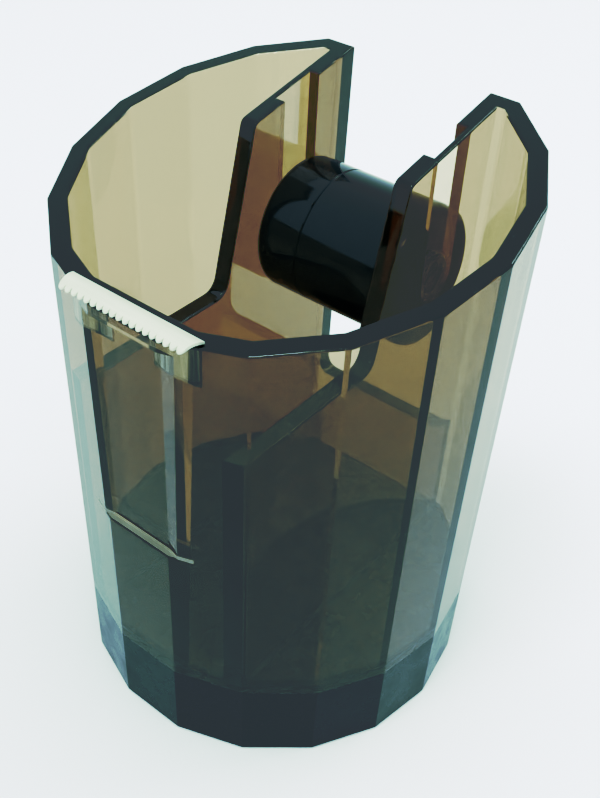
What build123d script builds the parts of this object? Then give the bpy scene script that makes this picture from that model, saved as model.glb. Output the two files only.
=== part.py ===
from build123d import *
import math
import os

os.makedirs("parts", exist_ok=True)

# Millimetres, +Z up, front (cutting blade) toward -Y.
# Origin: centre of the underside, on the table, on the axis of the 18-sided body.

# ---- overall body ----
sides = 18
corner_radius_base = 37.7        # outer corner radius at the table
corner_radius_rim = 39.0         # outer corner radius at rim height on the axis
rim_height = 99.8                # rim height on the axis
rim_slope = 12.14                # degrees, rising toward the back
back_facets = 3                  # facets that the flat back takes the place of
back_flat = 32.4                 # distance of the flat back from the axis, at the table
wall = 3.2
corner_cos = math.cos(math.pi / sides)
facet_growth = (corner_radius_rim - corner_radius_base) * corner_cos / rim_height
draft = math.degrees(math.atan(facet_growth))

# ---- base ----
pad_thickness = 1.2
pad_margin = 0.6                 # pad edge inside the cover's edge
cover_thickness = 2.0
shell_wall = 2.4
shell_bottom = 0.5               # the band hangs this far above the table
seam_height = 17.4
deck_thickness = 2.1
rabbet_depth = 2.4
spigot_clearance = 0.12
seam_gap = 0.03
cover_clearance = 0.15
screw_count = 4
boss_radius = 3.0
boss_wall_gap = 1.6              # between a screw boss and the shell wall
pilot_radius = 1.05
screw_radius = 1.05
screw_head_radius = 2.4
screw_head_height = 1.2
screw_hole_radius = 1.45
screw_length = 8.0
screw_recess = 2.6

# ---- ballast ----
ballast_gap = 1.4                # between the ballast and the screw bosses
ballast_thickness = 3.0
ballast_count = 3

# ---- cup ----
floor_thickness = 2.8
rim_round = 0.35
facet_round = 0.5

# ---- tape well ----
well_width = 28.0
partition_thickness = 3.2
partition_low = 71.0             # height of the low front part of a partition
partition_step_y = 6.75          # where the tall part begins at the rim
partition_lean = 13.5            # degrees, lean of the tall part's front edge
partition_corner_round = 1.5
partition_step_round = 3.0

# ---- back slot ----
slot_floor = 38.0
slot_corner_round = 2.5

# ---- hub and axle ----
hub_y = 19.1
hub_z = 78.5
hub_radius = 12.5
hub_end_gap = 0.4
hub_seam_x = -4.4
hub_wall = 2.0
hub_end_round = 1.8
hub_seam_chamfer = 0.2
hub_sleeve_wall = 1.8
hub_spigot_length = 3.0
hub_spigot_wall = 1.4
hub_spigot_clearance = 0.05
axle_radius = 4.4
axle_bore = 3.0
axle_running_clearance = 0.08
groove_depth = 2.0
groove_clearance = 0.2
axle_end_gap = 0.4
axle_chamfer = 0.4

# ---- front wall, thumb flat and blade ----
front_wall = 4.8                 # rim width at the front facet
lip_height = 1.95
flat_depth = 1.65                # floor of the thumb flat, measured at the lip
flat_half = 6.0                  # half width of that floor
flat_side_angle = 11.0           # degrees, its sides slope outward from the floor
flat_length = 41.4
ledge_round = 0.35               # the step at the foot of the thumb flat
blade_sheet = 0.5
blade_inset = 3.5                # blade's back edge behind the front facet
blade_overhang = 0.6
blade_arch = 0.6                 # rise of the blade between its two long edges
blade_length = 25.8
blade_taper = 0.7                # each end is this much shorter at the teeth
blade_lift = 0.04
tooth_count = 19
tooth_depth = 0.55
leg_width = 8.1
leg_centre_x = 8.25
leg_depth = 7.0
leg_clearance = 0.08

slope_tan = math.tan(math.radians(rim_slope))
front_y = -corner_radius_rim * corner_cos
front_inner_y = front_y + front_wall
blade_back_y = front_y + blade_inset
blade_front_y = front_y - blade_overhang
blade_front_length = blade_length - 2 * blade_taper
shell_inner = corner_radius_base * corner_cos - shell_wall
back_inner = back_flat - shell_wall
screw_angle = 45.0               # of the first screw, from +X
screw_circle = min(
    shell_inner - boss_wall_gap - boss_radius,
    (back_inner - boss_wall_gap - boss_radius) / math.sin(math.radians(screw_angle)))
ballast_radius = min(screw_circle - boss_radius, back_inner) - ballast_gap
flat_top = rim_height + slope_tan * front_y - lip_height
flat_top_y = front_y + flat_depth
flat_bottom = flat_top - flat_length
cover_bottom = pad_thickness
cover_top = cover_bottom + cover_thickness
deck_top = seam_height - rabbet_depth
deck_bottom = deck_top - deck_thickness
floor_top = deck_top + floor_thickness
well_half = well_width / 2
partition_outer = well_half + partition_thickness
groove_radius = axle_radius + groove_clearance
axle_half = well_half + groove_depth - axle_end_gap
hub_half = well_half - hub_end_gap
bore_radius = axle_radius + axle_running_clearance


def rim_z(y):
    return rim_height + slope_tan * y


def corner_radius(z):
    return corner_radius_base + (corner_radius_rim - corner_radius_base) * z / rim_height


def outline(z, inset=0.0):
    """Plan of the body at one height: a regular polygon cut off by the flat back."""
    step = 360 / sides
    facet = corner_radius(z) * corner_cos - inset
    back = back_flat + facet_growth * z - inset
    beside_back = math.radians(90 - step * (back_facets + 1) / 2)
    back_x = (facet - math.sin(beside_back) * back) / math.cos(beside_back)
    points = [(-back_x, back)]
    for index in range(1, sides - back_facets):
        angle = math.radians(90 + step * (back_facets / 2 + index))
        points.append((facet / corner_cos * math.cos(angle), facet / corner_cos * math.sin(angle)))
    points.append((back_x, back))
    return make_face(Polyline(*points, close=True))


def prism(z_low, z_high, inset=0.0):
    """Drafted prism on that plan; inset is measured square to the facets."""
    return extrude(Pos(0, 0, z_low) * outline(z_low, inset), z_high - z_low, taper=-draft)


def rounded_prism(z_low, z_high):
    """Drafted prism of the outside, with its upright corners eased."""
    body = prism(z_low, z_high)
    upright = body.edges().filter_by(lambda edge: abs(edge.tangent_at(0.5).Z) > 0.9)
    return fillet(upright, facet_round)


def block(x_low, x_high, y_low, y_high, z_low, z_high):
    centre = ((x_low + x_high) / 2, (y_low + y_high) / 2, (z_low + z_high) / 2)
    return Pos(*centre) * Box(x_high - x_low, y_high - y_low, z_high - z_low)


def tube_x(radius, x_low, x_high):
    """Cylinder on the hub axis between two X positions."""
    body = Rot(0, 90, 0) * Cylinder(radius, x_high - x_low)
    return Pos((x_low + x_high) / 2, hub_y, hub_z) * body


def above_rim():
    """Everything above the sloping rim plane."""
    reach = 3 * corner_radius_rim
    slab = Pos(0, 0, reach / 2) * Box(2 * reach, 2 * reach, reach)
    return Pos(0, 0, rim_height) * Rot(rim_slope, 0, 0) * slab


def screw_places():
    return PolarLocations(screw_circle, screw_count, start_angle=screw_angle)


def partition_profile():
    """Side view of a partition: tall at the back, stepped down to the front."""
    step_top = rim_z(partition_step_y)
    step_foot_y = partition_step_y - math.tan(math.radians(partition_lean)) * (step_top - partition_low)
    reach = corner_radius_rim
    points = [
        (-reach, floor_top - 1),
        (reach, floor_top - 1),
        (reach, rim_z(reach)),
        (partition_step_y, step_top),
        (step_foot_y, partition_low),
        (-reach, partition_low),
    ]
    face = make_face(Polyline(*points, close=True))
    top_corner = face.vertices().sort_by_distance((partition_step_y, step_top))[0]
    face = fillet(top_corner, partition_corner_round)
    foot_corner = face.vertices().sort_by_distance((step_foot_y, partition_low))[0]
    return fillet(foot_corner, partition_step_round)


def partitions():
    plane = Plane(origin=(0, 0, 0), x_dir=(0, 1, 0), z_dir=(1, 0, 0))
    one = extrude(plane * partition_profile(), partition_thickness)
    left = Pos(-partition_outer, 0, 0) * one
    right = Pos(well_half, 0, 0) * one
    return left + right


def groove_tool():
    """Open-topped slots in both partitions for the ends of the axle."""
    centre_z = hub_z - axle_radius + groove_radius
    reach = well_half + groove_depth
    round_end = Pos(0, hub_y, centre_z) * Rot(0, 90, 0) * Cylinder(groove_radius, 2 * reach)
    top = rim_z(corner_radius_rim) + 5
    channel = block(-reach, reach, hub_y - groove_radius, hub_y + groove_radius, centre_z, top)
    return round_end + channel


def back_slot_tool():
    """Slot through the back wall, open at the rim, rounded at its floor corners."""
    top = rim_z(corner_radius_rim) + 5
    tool = block(-well_half, well_half, back_flat - wall - 1, corner_radius_rim + 5, slot_floor, top)
    low_edges = tool.edges().filter_by(Axis.Y).group_by(Axis.Z)[0]
    return fillet(low_edges, slot_corner_round)


def flat_y(x):
    """Depth of the thumb flat across its width: level floor, then sides that slope outward."""
    return flat_top_y - max(0, abs(x) - flat_half) * math.tan(math.radians(flat_side_angle))


def thumb_flat_tool():
    reach = corner_radius_rim / 2
    side_y = flat_y(reach)
    plan = make_face(Polyline(
        (-flat_half, flat_top_y), (-reach, side_y), (-reach, -corner_radius_rim - 5),
        (reach, -corner_radius_rim - 5), (reach, side_y), (flat_half, flat_top_y), close=True))
    return extrude(Pos(0, 0, flat_bottom) * plan, flat_length)


def leg_slot_tool():
    low = rim_z(blade_back_y) - leg_depth - 0.3
    high = rim_z(blade_back_y) + 3
    y_high = blade_back_y + leg_clearance
    y_low = blade_back_y - blade_sheet - leg_clearance
    half = leg_width / 2 + leg_clearance
    slots = [
        block(side * leg_centre_x - half, side * leg_centre_x + half, y_low, y_high, low, high)
        for side in (-1, 1)
    ]
    return slots[0] + slots[1]


def on_rim(edge):
    """True for an edge that lies in the sloping rim plane."""
    places = [edge.position_at(share) for share in (0, 0.5, 1)]
    return all(abs(place.Z - rim_z(place.Y)) < 0.01 for place in places)


def on_ledge(edge):
    """True for an outer edge of the step at the foot of the thumb flat."""
    middle = edge.position_at(0.5)
    level = all(abs(edge.position_at(share).Z - flat_bottom) < 0.001 for share in (0, 0.5, 1))
    return level and middle.Y < flat_y(middle.X) - 0.05


def cup_body():
    tall = rim_z(corner_radius_rim) + 2
    outer = rounded_prism(seam_height + seam_gap, tall)
    inner = prism(floor_top, tall + 1, wall)
    front_block = block(-well_half, well_half, -corner_radius_rim, front_inner_y, floor_top - 0.5, tall)
    solid = outer - inner
    solid = solid + (front_block & outer) + (partitions() & outer)
    solid = solid + prism(deck_top, floor_top, shell_wall + spigot_clearance)
    solid = solid - above_rim()
    solid = solid - groove_tool() - back_slot_tool()
    solid = fillet(solid.edges().filter_by(on_rim), rim_round)
    solid = solid - thumb_flat_tool()
    solid = fillet(solid.edges().filter_by(on_ledge), ledge_round)
    return solid - leg_slot_tool()


def base_shell():
    outer = rounded_prism(shell_bottom, seam_height)
    hollow = prism(shell_bottom - 0.1, deck_bottom, shell_wall)
    rabbet = prism(deck_top, seam_height + 1, shell_wall)
    body = outer - hollow - rabbet
    boss = Cylinder(boss_radius, deck_bottom - cover_top, align=(Align.CENTER, Align.CENTER, Align.MIN))
    pilot_top = deck_bottom + 0.8
    pilot = Cylinder(pilot_radius, pilot_top - cover_top, align=(Align.CENTER, Align.CENTER, Align.MIN))
    for place in screw_places():
        body = body + Pos(0, 0, cover_top) * place * boss
    for place in screw_places():
        body = body - Pos(0, 0, cover_top) * place * pilot
    return body


def bottom_cover():
    plate = prism(cover_bottom, cover_top, shell_wall + cover_clearance)
    hole = Cylinder(screw_hole_radius, 3 * cover_thickness)
    sink = Cylinder(screw_head_radius + 0.1, 2 * screw_head_height)
    for place in screw_places():
        plate = plate - Pos(0, 0, cover_bottom) * place * hole - Pos(0, 0, cover_bottom) * place * sink
    return plate


def cover_screw():
    """Pan-head screw, head down, origin at the underside of its head."""
    low = (Align.CENTER, Align.CENTER, Align.MIN)
    head = Cylinder(screw_head_radius, screw_head_height, align=low)
    rim_edge = head.edges().filter_by(GeomType.CIRCLE).group_by(Axis.Z)[0]
    head = fillet(rim_edge, 0.35)
    shank = Cylinder(screw_radius - 0.03, screw_length, align=low)
    cross = Box(2.6, 0.6, 1.2) + Box(0.6, 2.6, 1.2)
    return head + shank - cross


def ballast_plate(index):
    low = cover_top + index * ballast_thickness
    disc = Cylinder(ballast_radius, ballast_thickness, align=(Align.CENTER, Align.CENTER, Align.MIN))
    return Pos(0, 0, low) * chamfer(disc.edges(), 0.3)


def ballast_foam():
    low = cover_top + ballast_count * ballast_thickness
    disc = Cylinder(ballast_radius - 1.5, deck_bottom - low, align=(Align.CENTER, Align.CENTER, Align.MIN))
    return Pos(0, 0, low) * disc


def nonslip_pad():
    sheet = prism(0, pad_thickness, shell_wall + cover_clearance + pad_margin)
    sheet = chamfer(sheet.edges().group_by(Axis.Z)[0], 0.3)
    window = Cylinder(screw_head_radius + 0.6, 3 * pad_thickness)
    for place in screw_places():
        sheet = sheet - place * window
    return sheet


def hub_axle():
    rod = tube_x(axle_radius, -axle_half, axle_half)
    rod = chamfer(rod.edges().filter_by(GeomType.CIRCLE), axle_chamfer)
    return rod - tube_x(axle_bore, -axle_half - 1, axle_half + 1)


def hub_half_shell(x_end, x_seam):
    """One cup-shaped half of the hub with its end wall and inner sleeve."""
    low, high = min(x_end, x_seam), max(x_end, x_seam)
    side = 1 if x_end > x_seam else -1
    body = tube_x(hub_radius, low, high)
    rings = body.edges().filter_by(GeomType.CIRCLE).sort_by(Axis.X)
    body = fillet(rings[-1] if side > 0 else rings[0], hub_end_round)
    rings = body.edges().filter_by(GeomType.CIRCLE).sort_by(Axis.X)
    body = chamfer(rings[0] if side > 0 else rings[-1], hub_seam_chamfer)
    hollow_end = x_end - side * hub_wall
    hollow = tube_x(hub_radius - hub_wall, min(hollow_end, x_seam), max(hollow_end, x_seam))
    sleeve = tube_x(bore_radius + hub_sleeve_wall, low, high)
    body = body - hollow + sleeve
    return body - tube_x(bore_radius, low - 1, high + 1)


def hub_left_half():
    return hub_half_shell(-hub_half, hub_seam_x)


def hub_right_half():
    body = hub_half_shell(hub_half, hub_seam_x)
    outside = hub_radius - hub_wall - hub_spigot_clearance
    low, high = hub_seam_x - hub_spigot_length, hub_seam_x + hub_spigot_length
    spigot = tube_x(outside, low, high) + tube_x(hub_radius - hub_wall, hub_seam_x, high)
    return body + (spigot - tube_x(outside - hub_spigot_wall, low - 1, high + 1))


def blade_section():
    """Side view of the strip: a shallow arch over the rim, of even thickness."""
    lean = math.radians(rim_slope)
    up = Vector(-math.sin(lean), math.cos(lean))
    back = Vector(blade_back_y, rim_z(blade_back_y)) + up * blade_lift
    front = Vector(blade_front_y, rim_z(blade_front_y)) + up * blade_lift
    crown = (back + front) / 2 + up * blade_arch
    lower = ThreePointArc(back, crown, front)
    upper = ThreePointArc(back + up * blade_sheet, crown + up * blade_sheet, front + up * blade_sheet)
    ends = [Line(lower @ 0, upper @ 0), Line(lower @ 1, upper @ 1)]
    return make_face([lower, upper] + ends)


def blade_plan():
    """Top view of the strip, with a row of blunt teeth along the front."""
    half_back = blade_length / 2
    half_front = blade_front_length / 2
    pitch = blade_front_length / tooth_count
    tip_y = blade_front_y - blade_sheet
    root_y = blade_front_y + tooth_depth
    points = [(half_back, blade_back_y + 1), (half_back, blade_back_y), (half_front, root_y)]
    for tooth in range(tooth_count):
        x_start = half_front - tooth * pitch
        points.append((x_start - 0.3 * pitch, tip_y))
        points.append((x_start - 0.7 * pitch, tip_y))
        points.append((x_start - pitch, root_y))
    points.append((-half_back, blade_back_y))
    points.append((-half_back, blade_back_y + 1))
    return make_face(Polyline(*points, close=True))


def cutter_blade():
    """Arched strip over the rim, toothed in front, with two legs down into the wall."""
    side_plane = Plane(origin=(0, 0, 0), x_dir=(0, 1, 0), z_dir=(1, 0, 0))
    strip = Pos(-blade_length / 2, 0, 0) * extrude(side_plane * blade_section(), blade_length)
    strip = strip & extrude(Pos(0, 0, partition_low) * blade_plan(), rim_height - partition_low)
    top = rim_z(blade_back_y) + blade_sheet * 0.8
    for side in (-1, 1):
        centre = side * leg_centre_x
        strip = strip + block(
            centre - leg_width / 2, centre + leg_width / 2,
            blade_back_y - blade_sheet, blade_back_y,
            rim_z(blade_back_y) - leg_depth, top)
    return strip


pieces = {
    "cup_body": cup_body(),
    "base_shell": base_shell(),
    "bottom_cover": bottom_cover(),
    "ballast_foam": ballast_foam(),
    "nonslip_pad": nonslip_pad(),
    "cutter_blade": cutter_blade(),
    "hub_axle": hub_axle(),
    "hub_left_half": hub_left_half(),
    "hub_right_half": hub_right_half(),
}
for index in range(ballast_count):
    pieces[f"ballast_plate_{index + 1}"] = ballast_plate(index)
for index, place in enumerate(screw_places()):
    pieces[f"cover_screw_{index + 1}"] = Pos(0, 0, cover_bottom) * place * cover_screw()

for name, piece in pieces.items():
    solids = piece.solids()
    volume = round(sum(solid.volume for solid in solids), 1)
    print(name, "solids:", len(solids), "volume:", volume, "valid:", piece.is_valid)
    piece.label = name
    export_step(piece, f"parts/{name}.step")
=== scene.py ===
import math
import bpy
import numpy as np
from mathutils import Matrix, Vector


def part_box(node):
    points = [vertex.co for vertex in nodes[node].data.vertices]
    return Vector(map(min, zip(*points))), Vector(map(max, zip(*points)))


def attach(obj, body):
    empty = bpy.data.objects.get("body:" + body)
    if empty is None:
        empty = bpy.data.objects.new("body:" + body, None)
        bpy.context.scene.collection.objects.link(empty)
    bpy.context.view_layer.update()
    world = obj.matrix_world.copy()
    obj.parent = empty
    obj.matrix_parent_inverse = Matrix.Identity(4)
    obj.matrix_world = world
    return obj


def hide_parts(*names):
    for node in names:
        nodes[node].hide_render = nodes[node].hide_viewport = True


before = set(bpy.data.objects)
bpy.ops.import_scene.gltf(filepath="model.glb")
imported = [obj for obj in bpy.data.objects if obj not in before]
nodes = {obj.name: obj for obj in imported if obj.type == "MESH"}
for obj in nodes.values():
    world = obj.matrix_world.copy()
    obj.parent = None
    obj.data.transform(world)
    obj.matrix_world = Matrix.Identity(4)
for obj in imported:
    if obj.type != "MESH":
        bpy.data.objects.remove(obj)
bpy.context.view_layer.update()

scene = bpy.context.scene
print("frame loaded,", len(nodes), "nodes")


class Wire:  # one output socket, so that shader maths reads as a formula
    def __init__(self, finish, socket):
        self.finish, self.socket = finish, socket

    def maths(self, operation, other):
        return self.finish.add("ShaderNodeMath", {"operation": operation}, {0: self, 1: other})

    def __add__(self, other):
        return self.maths("ADD", other)

    def __sub__(self, other):
        return self.maths("SUBTRACT", other)

    def __mul__(self, other):
        return self.maths("MULTIPLY", other)

    def __lt__(self, other):
        return self.maths("LESS_THAN", other)

    def __abs__(self):
        return self.maths("ABSOLUTE", 0.0)


class Finish:  # a material and every node in it
    def __init__(self, name, tree=None):
        if tree is None:
            self.material = bpy.data.materials.new(name)
            self.material.use_nodes = True
            tree = self.material.node_tree
            tree.nodes.clear()
        self.tree = tree

    # any node: its type, its settings, then values or wires for its sockets
    def add(self, kind, settings=None, sockets=None, pick=0):
        node = self.tree.nodes.new(kind)
        for key, value in (settings or {}).items():
            if key == "stops":
                while len(node.color_ramp.elements) < len(value):
                    node.color_ramp.elements.new(1.0)
                for element, (place, colour) in zip(node.color_ramp.elements, value):
                    element.position = place
                    element.color = colour
            else:
                setattr(node, key, value)
        for key, value in (sockets or {}).items():
            if isinstance(value, Wire):
                self.tree.links.new(value.socket, node.inputs[key])
            else:
                node.inputs[key].default_value = value
        return Wire(self, node.outputs[pick])

    def place(self, stretch=(1, 1, 1)):  # the point in the object's own frame, stretched
        here = self.add("ShaderNodeTexCoord", pick=3)
        return self.add("ShaderNodeMapping", None, {"Vector": here, "Scale": stretch})

    def part(self, axis):  # one coordinate of the point, in metres
        here = self.add("ShaderNodeTexCoord", pick=3)
        return self.add("ShaderNodeSeparateXYZ", None, {0: here}, pick=axis)

    def noise(self, scale, detail, rough, stretch=(1, 1, 1)):
        sockets = {"Vector": self.place(stretch), "Scale": scale, "Detail": detail, "Roughness": rough}
        return self.add("ShaderNodeTexNoise", None, sockets)

    def cells(self, scale, pick=0):
        return self.add("ShaderNodeTexVoronoi", None, {"Vector": self.place(), "Scale": scale}, pick)

    # a pattern is the values for noise, or one number for cells
    def pattern(self, given):
        return self.noise(*given) if isinstance(given, tuple) else self.cells(given)

    def ramp(self, value, stops):
        return self.add("ShaderNodeValToRGB", {"stops": stops}, {0: value})

    def span(self, value, old, new):  # carries the old range to the new one
        sockets = {"Value": value, "From Min": old[0], "From Max": old[1], "To Min": new[0], "To Max": new[1]}
        return self.add("ShaderNodeMapRange", None, sockets)

    def blend(self, share, first, second):
        return self.add("ShaderNodeMix", {"data_type": "RGBA"}, {0: share, 6: first, 7: second}, pick=2)

    def bump(self, height, strength, distance):
        sockets = {"Height": height, "Strength": strength, "Distance": distance}
        return self.add("ShaderNodeBump", None, sockets)

    def shader(self, **sockets):
        named = {key.replace("_", " "): value for key, value in sockets.items()}
        return self.add("ShaderNodeBsdfPrincipled", None, named)

    def output(self, surface, volume=None):
        end = self.tree.nodes.new("ShaderNodeOutputMaterial")
        self.tree.links.new(surface.socket, end.inputs["Surface"])
        if volume is not None:
            self.tree.links.new(volume.socket, end.inputs["Volume"])
        return self.material


# a noise is given as scale, detail, roughness and, where it is not even, its stretch
smoke = {
    "ior": 1.53,
    "shine": 0.33,
    "takenPerMetre": (215.0, 305.0, 420.0),  # red, green and blue absorbed along a path
    "smudge": (38.0, 4.0, 0.6),
    "smudgeSpan": (0.45, 0.75),
    "roughness": (0.018, 0.05),  # where it is clean, and under a smudge
    "flow": (55.0, 2.0, 0.4, (1, 1, 0.35)),
    "flowStrength": 0.35,
    "flowDepth": 0.000012,
    "dustCells": 420.0,
    "dustSize": 0.05,  # of a cell
    "dustShare": 0.16,  # of the cells
    "dustGlow": (0.2, 0.2, 0.2, 1),
    "ledgeHeight": 0.04856,  # of the step at the foot of the thumb flat
    "ledgeReach": 0.00042,  # how far above and below it the surface is matt and carries a painted highlight
    "ledgeFront": -0.0362,  # the mark stays in front of this
    "ledgeMatt": 0.5,
    # colour of the painted highlight that glows on the step's edge
    "ledgeHighlight": (0.26, 0.24, 0.2, 1),
    "ledgeSpan": (0.3, 0.7),  # of the smudges that make the painted highlight uneven
    "ledgeShare": (0.5, 1.0),
}


def clearSmoke():
    finish = Finish("clearSmokePlastic")
    smudges = finish.noise(*smoke["smudge"])
    roughness = finish.span(smudges, smoke["smudgeSpan"], smoke["roughness"])
    # the step's edge is rougher, and it also gets a painted highlight as emission
    ledgeWearAndHighlight = abs(finish.part(2) - smoke["ledgeHeight"]) < smoke["ledgeReach"]
    ledgeWearAndHighlight = ledgeWearAndHighlight * (finish.part(1) < smoke["ledgeFront"])
    roughness = roughness + ledgeWearAndHighlight * smoke["ledgeMatt"]
    speck = finish.cells(smoke["dustCells"]) < smoke["dustSize"]
    chosen = finish.add("ShaderNodeSeparateColor", None, {0: finish.cells(smoke["dustCells"], pick=1)})
    dust = speck * (chosen < smoke["dustShare"])
    glow = finish.blend(dust, (0, 0, 0, 1), smoke["dustGlow"])
    uneven = finish.span(smudges, smoke["ledgeSpan"], smoke["ledgeShare"])
    # painted highlight: the step's edge glows pale, as if it caught the light
    glow = finish.blend(ledgeWearAndHighlight * uneven, glow, smoke["ledgeHighlight"])
    normal = finish.bump(finish.noise(*smoke["flow"]), smoke["flowStrength"], smoke["flowDepth"])
    surface = finish.shader(
        Base_Color=(1, 1, 1, 1), Roughness=roughness, IOR=smoke["ior"], Specular_IOR_Level=smoke["shine"],
        Transmission_Weight=1.0, Emission_Color=glow, Emission_Strength=1.0, Normal=normal)
    strongest = max(smoke["takenPerMetre"])
    kept = tuple(1 - taken / strongest for taken in smoke["takenPerMetre"]) + (1,)
    volume = finish.add("ShaderNodeVolumeAbsorption", None, {"Color": kept, "Density": strongest})
    return finish.output(surface, volume)


# opaque surfaces: cloud blends dark into light, wear between wearSpan gives the roughness,
# and grain is the pattern in the bump
looks = {
    "darkBasePlastic": {
        "cloud": (60.0, 5.0, 0.6), "dark": (0.002, 0.005, 0.010, 1), "light": (0.005, 0.009, 0.018, 1),
        "wear": (220.0, 3.0, 0.5), "wearSpan": (0.3, 0.7), "roughness": (0.22, 0.34),
        "grain": (2600.0, 2.0, 0.5), "grainStrength": 0.12, "grainDepth": 0.00003,
        "metallic": 0.0, "shine": 0.33},
    "hubBlackPlastic": {
        "cloud": (90.0, 4.0, 0.6), "dark": (0.002, 0.0025, 0.003, 1), "light": (0.005, 0.006, 0.007, 1),
        "wear": (160.0, 4.0, 0.6), "wearSpan": (0.4, 0.75), "roughness": (0.07, 0.16),
        "grain": (240.0, 2.0, 0.5), "grainStrength": 0.2, "grainDepth": 0.00004,
        "metallic": 0.0, "shine": 0.3},
    "axleBlackPlastic": {
        "cloud": (120.0, 3.0, 0.5), "dark": (0.006, 0.007, 0.008, 1), "light": (0.014, 0.014, 0.015, 1),
        "wear": (700.0, 2.0, 0.5, (3, 0.2, 0.2)), "wearSpan": (0.3, 0.7), "roughness": (0.2, 0.4),
        "grain": (700.0, 2.0, 0.5, (3, 0.2, 0.2)), "grainStrength": 0.15, "grainDepth": 0.00002,
        "metallic": 0.0, "shine": 0.5},
    "bladeBrightSteel": {
        "cloud": (900.0, 3.0, 0.6, (0.12, 1, 1)), "dark": (0.58, 0.57, 0.46, 1),
        "light": (0.70, 0.69, 0.58, 1),
        "wear": (900.0, 3.0, 0.6, (0.12, 1, 1)), "wearSpan": (0.3, 0.7), "roughness": (0.3, 0.45),
        "grain": (900.0, 3.0, 0.6, (0.12, 1, 1)), "grainStrength": 0.1, "grainDepth": 0.00001,
        "metallic": 0.5, "shine": 0.5},
    "ballastSteel": {
        "cloud": (70.0, 4.0, 0.65), "dark": (0.26, 0.25, 0.25, 1), "light": (0.42, 0.42, 0.43, 1),
        "wear": (500.0, 4.0, 0.6, (1, 0.06, 1)), "wearSpan": (0.3, 0.7), "roughness": (0.3, 0.5),
        "grain": (500.0, 4.0, 0.6, (1, 0.06, 1)), "grainStrength": 0.15, "grainDepth": 0.00002,
        "metallic": 1.0, "shine": 0.5},
    "screwSteel": {
        "cloud": (70.0, 4.0, 0.65), "dark": (0.45, 0.45, 0.46, 1), "light": (0.62, 0.62, 0.62, 1),
        "wear": (500.0, 4.0, 0.6, (1, 0.06, 1)), "wearSpan": (0.3, 0.7), "roughness": (0.2, 0.35),
        "grain": (500.0, 4.0, 0.6, (1, 0.06, 1)), "grainStrength": 0.15, "grainDepth": 0.00002,
        "metallic": 1.0, "shine": 0.5},
    "nonslipRubber": {
        "cloud": (150.0, 5.0, 0.65), "dark": (0.015, 0.015, 0.015, 1), "light": (0.03, 0.03, 0.03, 1),
        "wear": (300.0, 3.0, 0.5), "wearSpan": (0.3, 0.7), "roughness": (0.65, 0.85),
        "grain": 1400.0, "grainStrength": 0.5, "grainDepth": 0.00004,
        "metallic": 0.0, "shine": 0.5},
    "foamPad": {
        "cloud": (150.0, 5.0, 0.65), "dark": (0.06, 0.06, 0.06, 1), "light": (0.12, 0.12, 0.12, 1),
        "wear": (300.0, 3.0, 0.5), "wearSpan": (0.3, 0.7), "roughness": (0.65, 0.85),
        "grain": 900.0, "grainStrength": 0.5, "grainDepth": 0.0002,
        "metallic": 0.0, "shine": 0.5},
    "coverMouldedPlastic": {
        "cloud": (80.0, 4.0, 0.5), "dark": (0.012, 0.013, 0.015, 1), "light": (0.022, 0.022, 0.024, 1),
        "wear": (400.0, 3.0, 0.5), "wearSpan": (0.3, 0.7), "roughness": (0.45, 0.6),
        "grain": 2200.0, "grainStrength": 0.3, "grainDepth": 0.00003,
        "metallic": 0.0, "shine": 0.5},
}


def opaque(name):
    finish = Finish(name)
    look = looks[name]
    colour = finish.blend(finish.pattern(look["cloud"]), look["dark"], look["light"])
    roughness = finish.span(finish.pattern(look["wear"]), look["wearSpan"], look["roughness"])
    normal = finish.bump(finish.pattern(look["grain"]), look["grainStrength"], look["grainDepth"])
    return finish.output(finish.shader(
        Base_Color=colour, Metallic=look["metallic"], Roughness=roughness,
        Specular_IOR_Level=look["shine"], Normal=normal))


leg = {
    "streak": (620.0, 3.0, 0.7, (1, 1, 0.05)),
    # the stops run from painted shade to the steel's lit tone across each streak
    "stops": [(0.40, (0.05, 0.045, 0.03, 1)), (0.5, (0.30, 0.28, 0.22, 1)), (0.62, (0.62, 0.6, 0.5, 1))],
    "metallic": 0.5,
    "wearSpan": (0.3, 0.7),
    "roughness": (0.3, 0.5),
}


# through the clear wall the legs look streaked, so their colour has painted shade in dark upright streaks
def legSteel():
    finish = Finish("bladeLegSteel")
    streak = finish.noise(*leg["streak"])
    colour = finish.ramp(streak, leg["stops"])
    roughness = finish.span(streak, leg["wearSpan"], leg["roughness"])
    return finish.output(finish.shader(Base_Color=colour, Metallic=leg["metallic"], Roughness=roughness))


hubFinish = opaque("hubBlackPlastic")
finishes = {
    "cup_body": clearSmoke(),
    "base_shell": opaque("darkBasePlastic"),
    "bottom_cover": opaque("coverMouldedPlastic"),
    "nonslip_pad": opaque("nonslipRubber"),
    "ballast_foam": opaque("foamPad"),
    "ballast_plate": opaque("ballastSteel"),
    "cover_screw": opaque("screwSteel"),
    "cutter_blade": opaque("bladeBrightSteel"),
    "hub_axle": opaque("axleBlackPlastic"),
    "hub_left_half": hubFinish,
    "hub_right_half": hubFinish,
}
for name, node in nodes.items():
    for slot in node.material_slots:
        slot.material = finishes[name.rstrip("_0123456789")]
print("finishes on", len(nodes), "nodes")

sharpAngle = math.radians(40)  # edges that turn more than this stay crisp


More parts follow.
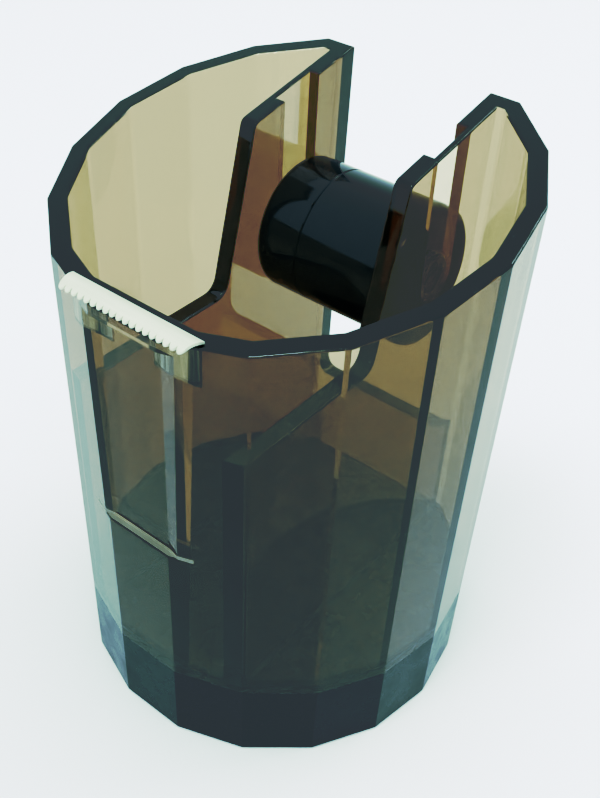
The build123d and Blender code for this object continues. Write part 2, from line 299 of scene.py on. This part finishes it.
# rings of points, one after another, joined by four-sided faces and closed by a face at each end
def closedPiece(name, rings, body, replaced, material):
    count, around = rings.shape[:2]
    index = np.arange(count * around).reshape(count, around)
    ahead = np.roll(index, -1, axis=1)
    sides = np.stack([index[:-1], ahead[:-1], ahead[1:], index[1:]], axis=-1).reshape(-1, 4)
    points = rings.reshape(-1, 3)
    a, b, c, d = (points[sides[:, corner]] for corner in range(4))
    enclosed = np.einsum("ij,ij->i", a, np.cross(b, c)).sum() + np.einsum("ij,ij->i", a, np.cross(c, d)).sum()
    faces = sides.tolist() + [index[0, ::-1].tolist(), index[-1].tolist()]
    if enclosed < 0:
        faces = [face[::-1] for face in faces]
    mesh = bpy.data.meshes.new(name)
    mesh.from_pydata(points.tolist(), [], faces)
    mesh.polygons.foreach_set("use_smooth", np.ones(len(faces), bool))
    mesh.set_sharp_from_angle(angle=sharpAngle)
    mesh.materials.append(material)
    piece = bpy.data.objects.new(name, mesh)
    scene.collection.objects.link(piece)
    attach(piece, body)
    if replaced:
        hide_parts(replaced)
    return piece


blade = {
    "rimHeight": 0.0998,  # of the rim on the body's axis
    "slope": math.radians(12.14),  # of the rim
    "lift": 0.00005,  # keeps the strip clear of the rim
    "sheet": 0.0005,
    "arch": 0.00055,  # rise between its two long edges
    "frontRise": 0.0003,  # the toothed edge stands this far off the rim
    "shortfall": 0.0003,  # this much narrower than the CAD blade
    "edgeRound": 0.9,  # of half the sheet, how far its long edges bulge
    "taper": 0.0007,  # each end is this much shorter at the teeth
    "teeth": 19,
    "toothDepth": 0.0008,
    "toothBlunt": 0.55,  # below 1 for blunt tips and narrow notches
    "edgeSteps": 7,
    "faceSteps": 18,
    "stepsPerTooth": 18,
    "legWidth": 0.0081,
    "legCentre": 0.00825,
    "legCorner": 0.0011,
    "legBend": 0.0009,
    "bendSteps": 9,
    "dropSteps": 14,
}
bladeLow, bladeHigh = np.array(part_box("cutter_blade"))
rimBack = blade["rimHeight"] + math.tan(blade["slope"]) * bladeHigh[1]


# a flat band seen end on: out along one face, round its edge, back along the other, round again;
# gives the share of the width, the bulge of its edges and the height in half thicknesses
def bandSection():
    across = np.linspace(0, 1, blade["faceSteps"])
    turn = np.linspace(-math.pi / 2, math.pi / 2, blade["edgeSteps"])[1:-1]
    flat = np.ones_like(across)
    share = np.concatenate([across, 1 + 0 * turn, across[::-1], 0 * turn])
    bulge = np.concatenate([0 * across, np.cos(turn), 0 * across, -np.cos(turn)])
    height = np.concatenate([flat, -np.sin(turn), -flat, np.sin(turn)])
    return share, bulge, height


# strip: a point at a share of the width is lifted by arch * 4 * share * (1 - share), and the width
# between two teeth is less by toothDepth * (1 - |sin(pi * teeth * place)| ** toothBlunt)
def bladeStrip(material):
    half = blade["sheet"] / 2
    slope = blade["slope"]
    width = (bladeHigh[1] - bladeLow[1] - half) / math.cos(slope) - blade["shortfall"]
    along = np.linspace(-1, 1, blade["teeth"] * blade["stepsPerTooth"] + 1)
    tooth = np.abs(np.sin(math.pi * blade["teeth"] * (along + 1) / 2)) ** blade["toothBlunt"]
    share, bulge, height = bandSection()
    reach = (width - half - blade["toothDepth"] * (1 - tooth))[:, None] * share[None, :]
    outward = reach + bulge * half * blade["edgeRound"]
    crossed = reach / width
    lift = blade["arch"] * 4 * crossed * (1 - crossed) + blade["frontRise"] * crossed
    lift = lift + half * (height + 1) + blade["lift"]
    x = along[:, None] * (bladeHigh[0] - blade["taper"] * share[None, :])
    y = bladeHigh[1] - half - outward * math.cos(slope) - lift * math.sin(slope)
    z = rimBack - (outward + half) * math.sin(slope) + lift * math.cos(slope)
    rings = np.stack([x, y, z], axis=-1)
    return closedPiece("cutter_blade_strip", rings, "cup", "cutter_blade", material)


# leg: the same band, its edges square, carried down a path that bends out of the strip into the wall
def bladeLeg(side, material):
    half = blade["sheet"] / 2
    bend = blade["legBend"]
    turn = np.linspace(0, math.pi / 2, blade["bendSteps"])
    drop = np.linspace(0, 1, blade["dropSteps"])[1:]
    centreY = bladeHigh[1] - half
    topZ = rimBack + half
    footZ = bladeLow[2]
    y = np.concatenate([centreY - bend + bend * np.sin(turn), np.full(drop.size, centreY)])
    z = np.concatenate([topZ - bend + bend * np.cos(turn), topZ - bend + (footZ - topZ + bend) * drop])
    outY = np.concatenate([np.sin(turn), np.ones(drop.size)])
    outZ = np.concatenate([np.cos(turn), np.zeros(drop.size)])
    fromFoot = np.clip((z - footZ) / blade["legCorner"], 0, 1)
    wide = blade["legWidth"] / 2 - blade["legCorner"] * (1 - np.sqrt(1 - (1 - fromFoot) ** 2))
    share, _, height = bandSection()
    x = side * blade["legCentre"] + wide[:, None] * (2 * share - 1)[None, :]
    y = y[:, None] + outY[:, None] * height[None, :] * half
    z = z[:, None] + outZ[:, None] * height[None, :] * half
    rings = np.stack([x, y, z], axis=-1)
    name = "cutter_blade_leg_" + ("left" if side < 0 else "right")
    return closedPiece(name, rings, "cup", "cutter_blade", material)


bladeStrip(finishes["cutter_blade"])
legFinish = legSteel()
for side in (-1, 1):
    bladeLeg(side, legFinish)
print("cutting blade made")


joint = {
    "sides": 18,
    "backFacets": 3,  # taken up by the flat back
    "across": 0.0377,  # corner radius at the table
    "back": 0.0324,  # distance of the flat back from the axis, at the table
    "growth": 0.012828,  # each face moves out by this share of the height
    "seam": 0.0174,  # height of the seam between cup and base
    "outerInset": 0.00006,  # of the brim, from the outer faces
    "spigotInset": 0.00246,  # of the tray's outer side
    "innerInset": 0.0028,  # of the tray's inner side
    "thickness": 0.00012,  # half that of the floor and of the brim
}


# plan of the body at a height: corners of a regular polygon, with the back facets cut off square
def bodyPlan(height, inset):
    step = 2 * math.pi / joint["sides"]
    facet = joint["across"] * math.cos(step / 2) + joint["growth"] * height - inset
    back = joint["back"] + joint["growth"] * height - inset
    beside = math.pi / 2 - step * (joint["backFacets"] + 1) / 2
    backX = (facet - math.sin(beside) * back) / math.cos(beside)
    turn = math.pi / 2 + step * (joint["backFacets"] / 2 + np.arange(1, joint["sides"] - joint["backFacets"]))
    corners = facet / math.cos(step / 2) * np.stack([np.cos(turn), np.sin(turn)], axis=-1)
    plan = np.concatenate([[[-backX, back]], corners, [[backX, back]]])
    return np.concatenate([plan, np.full((len(plan), 1), height)], axis=1)


# a dark layer where the clear cup sits in the base, a tray under its floor and a brim under its wall: painted
# shade that keeps the seam dark
def cupSeamShade(material):
    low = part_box("cup_body")[0][2]
    seam, thick = joint["seam"], joint["thickness"]
    outer, inner, spigot = joint["outerInset"], joint["innerInset"], joint["spigotInset"]
    section = [
        (low - thick, inner), (low - thick, spigot), (seam - thick, spigot), (seam - thick, outer),
        (seam + thick, outer), (seam + thick, inner), (low + thick, inner)]
    rings = np.stack([bodyPlan(height, inset) for height, inset in section])
    return closedPiece("cup_seam_shade", rings, "cup", None, material)


# the layer takes the base's dark plastic, as painted shade at the seam
cupSeamShade(finishes["base_shell"])
print("seam_shade under the cup made")


view = {
    "place": (0.09275, -0.12109, 0.17857),
    "right": (0.78143, 0.62232, 0.04563),
    "up": (-0.42100, 0.47184, 0.77467),
    "back": (0.46056, -0.62456, 0.63072),
    "lens": 48.6,
    "sensor": 36.0,
    "nearest": 0.01,
}


def addCamera():
    camera = bpy.data.objects.new("camera", bpy.data.cameras.new("camera"))
    scene.collection.objects.link(camera)
    turn = Matrix((view["right"], view["up"], view["back"])).transposed().to_4x4()
    camera.matrix_world = Matrix.Translation(view["place"]) @ turn
    camera.data.lens = view["lens"]
    camera.data.sensor_width = view["sensor"]
    camera.data.clip_start = view["nearest"]
    scene.camera = camera


studio = {
    "floorSize": 6.0,
    "floorPattern": (3.0, 3.0, 0.5),
    "floorColour": (0.86, 0.87, 0.87, 1),
    "floorShade": 0.98,  # of that colour, in its darker patches
    "floorRoughness": 0.9,
    "floorShine": 0.2,
    "skyTop": (0.92, 0.97, 1.0, 1),
    "skyLow": (0.78, 0.84, 0.88, 1),
    "skySpan": (0.0, 0.8),  # heights of the ray between the two colours
    "skyStrength": 1.5,
    "bounces": 24,
    "clearBounces": 16,
}
lamps = {
    "windowLight": {
        "place": (0.25, 0.55, 0.7), "aim": (0, 0, 0.06), "size": (0.5, 0.35),
        "power": 2.0, "colour": (1.0, 0.99, 0.96)},
    "glintLight": {
        "place": (0.02, -0.42, 1.1), "aim": (0, 0, 0.09), "size": (0.34, 0.3),
        "power": 5.0, "colour": (1, 1, 1)},
}


def addFloor():
    half = studio["floorSize"] / 2
    corners = [(-half, -half, 0), (half, -half, 0), (half, half, 0), (-half, half, 0)]
    mesh = bpy.data.meshes.new("floor")
    mesh.from_pydata(corners, [], [(0, 1, 2, 3)])
    floor = bpy.data.objects.new("floor", mesh)
    scene.collection.objects.link(floor)
    finish = Finish("paperFloor")
    light = studio["floorColour"]
    shade = tuple(studio["floorShade"] * c for c in light[:3]) + (1,)
    colour = finish.blend(finish.noise(*studio["floorPattern"]), light, shade)
    mesh.materials.append(finish.output(finish.shader(
        Base_Color=colour, Roughness=studio["floorRoughness"], Specular_IOR_Level=studio["floorShine"])))


def addLamp(name):
    lamp = lamps[name]
    data = bpy.data.lights.new(name, "AREA")
    data.shape = "RECTANGLE"
    data.size, data.size_y = lamp["size"]
    data.energy = lamp["power"]
    data.color = lamp["colour"]
    away = np.array(lamp["place"], float) - np.array(lamp["aim"], float)
    away /= np.linalg.norm(away)
    side = np.cross((0, 0, 1), away)
    side /= np.linalg.norm(side)
    turn = Matrix((side, np.cross(away, side), away)).transposed().to_4x4()
    holder = bpy.data.objects.new(name, data)
    scene.collection.objects.link(holder)
    holder.matrix_world = Matrix.Translation(lamp["place"]) @ turn


def addSky():
    world = bpy.data.worlds.new("studioSky")
    scene.world = world
    world.use_nodes = True
    world.node_tree.nodes.clear()
    sky = Finish("sky", world.node_tree)
    ray = sky.add("ShaderNodeTexCoord", pick=0)
    height = sky.add("ShaderNodeSeparateXYZ", None, {0: ray}, pick=2)
    share = sky.span(height, studio["skySpan"], (0.0, 1.0))
    colour = sky.blend(share, studio["skyLow"], studio["skyTop"])
    light = sky.add("ShaderNodeBackground", None, {"Color": colour, "Strength": studio["skyStrength"]})
    output = world.node_tree.nodes.new("ShaderNodeOutputWorld")
    world.node_tree.links.new(light.socket, output.inputs["Surface"])


addCamera()
addFloor()
addSky()
for name in lamps:
    addLamp(name)


# how each channel's light is shown, as pairs of light and shown value
film = {
    "reach": 4.0,  # light that is shown as white
    "red": ((0.03, 0.007), (0.05, 0.018), (0.136, 0.034), (0.245, 0.125), (0.62, 0.53), (1.5, 0.87)),
    "green": ((0.03, 0.013), (0.05, 0.028), (0.1, 0.037), (0.135, 0.064), (0.45, 0.5), (1.5, 0.873)),
    "blue": (
        (0.03, 0.015), (0.05, 0.033), (0.1, 0.042), (0.15, 0.07), (0.21, 0.16), (0.305, 0.335),
        (1.5, 0.886)),
}


def setFilm():
    shown = scene.view_settings
    shown.view_transform = "Standard"
    shown.use_curve_mapping = True
    mapping = shown.curve_mapping
    mapping.clip_max_x = film["reach"]
    for curve, channel in zip(mapping.curves, ("red", "green", "blue")):
        curve.points[1].location = (film["reach"], 1.0)
        for light, value in film[channel]:
            curve.points.new(light, value)
    mapping.curves[3].points[1].location = (film["reach"], film["reach"])
    mapping.update()


setFilm()
scene.cycles.max_bounces = studio["bounces"]
scene.cycles.transmission_bounces = studio["bounces"]
scene.cycles.transparent_max_bounces = studio["clearBounces"]
print("camera, floor and light ready")
